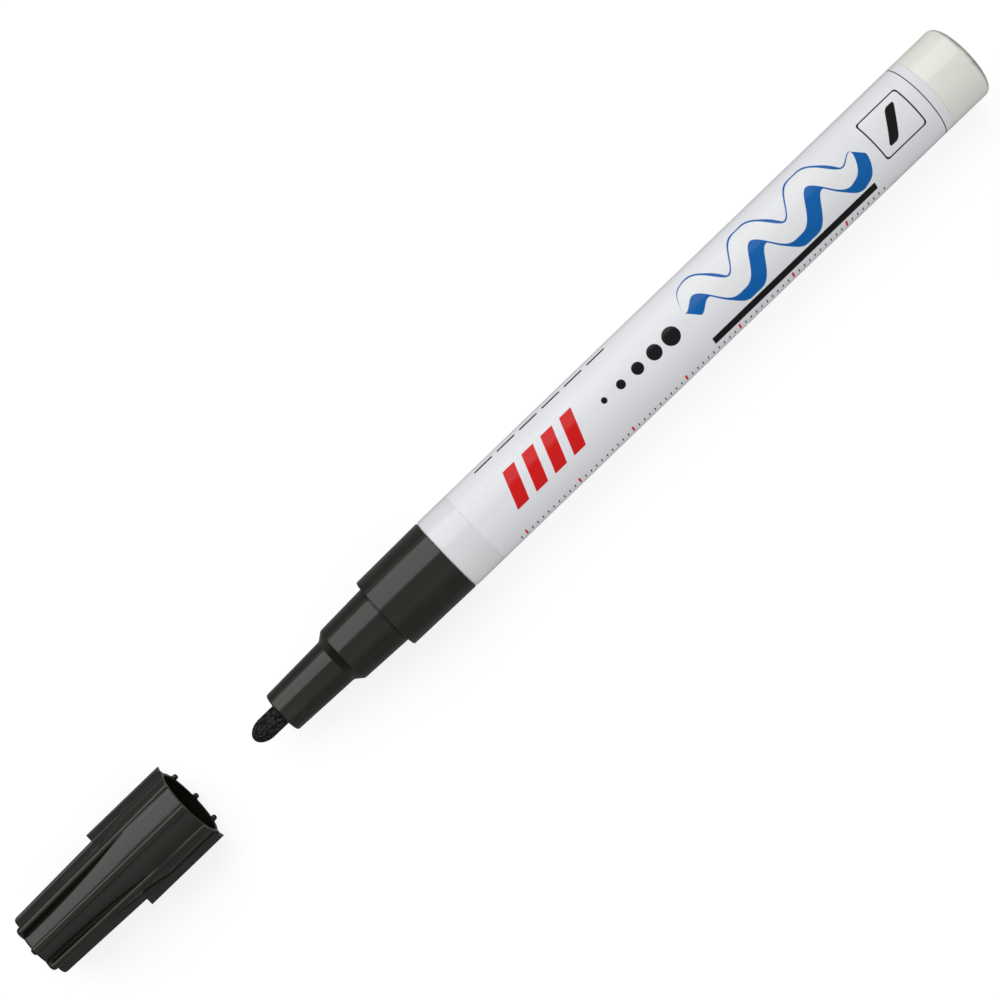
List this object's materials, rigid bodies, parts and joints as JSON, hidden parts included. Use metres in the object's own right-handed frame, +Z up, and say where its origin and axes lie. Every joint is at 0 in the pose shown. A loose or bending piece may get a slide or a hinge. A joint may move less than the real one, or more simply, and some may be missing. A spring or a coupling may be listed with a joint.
{
  "type": "paint marker",
  "caption": "Slim paint marker lying beside its pulled-off ribbed cap; pressing the bullet nib opens a sprung valve to the paint in the barrel.",
  "frame": {"origin": "on the table under the middle of the row, below the marker's axis", "axes": "+X along the marker's axis from the nib towards the tail, +Z up from the table"},
  "size_m": [0.1742, 0.013, 0.0118],
  "materials": {
    "black_plastic": "fine satin moulding",
    "barrel_white": "gloss",
    "label_film": "satin printed film",
    "tail_ivory": "natural satin",
    "seal_rubber": "matt",
    "wick_felt": "paint-soaked felt",
    "nib_fibre": "bonded fibre soaked with black paint",
    "valve_plastic": "natural",
    "liner_plastic": "satin",
    "spring_steel": "drawn wire",
    "ball_steel": "polished"
  },
  "bodies": {
    "marker": {"barrel": "barrel_white", "label_sleeve": "label_film", "tail_plug": "tail_ivory", "nose_section": "black_plastic", "nose_seal": "seal_rubber", "nib_wick": "wick_felt", "valve_seat": "seal_rubber", "spring_cup": "valve_plastic", "valve_spring": "spring_steel"},
    "plunger": {"nib": "nib_fibre", "valve_stem": "valve_plastic"},
    "ball": {"mixing_ball": "ball_steel"},
    "cap": {"cap_shell": "black_plastic", "cap_liner": "liner_plastic"}
  },
  "joints": [
    {"name": "cap_slide", "type": "slide", "parent": "marker", "child": "cap", "axis": [1, 0, 0], "range_m": [0, 0.0363]},
    {"name": "nib_press", "type": "slide", "parent": "marker", "child": "plunger", "axis": [1, 0, 0], "range_m": [0, 0.002], "stiffness_N_per_m": 700, "springref_m": -0.003, "deforming": ["valve_spring"]},
    {"name": "ball_roll", "type": "slide", "parent": "marker", "child": "ball", "axis": [1, 0, 0], "range_m": [-0.0202, 0.0463]}
  ]
}
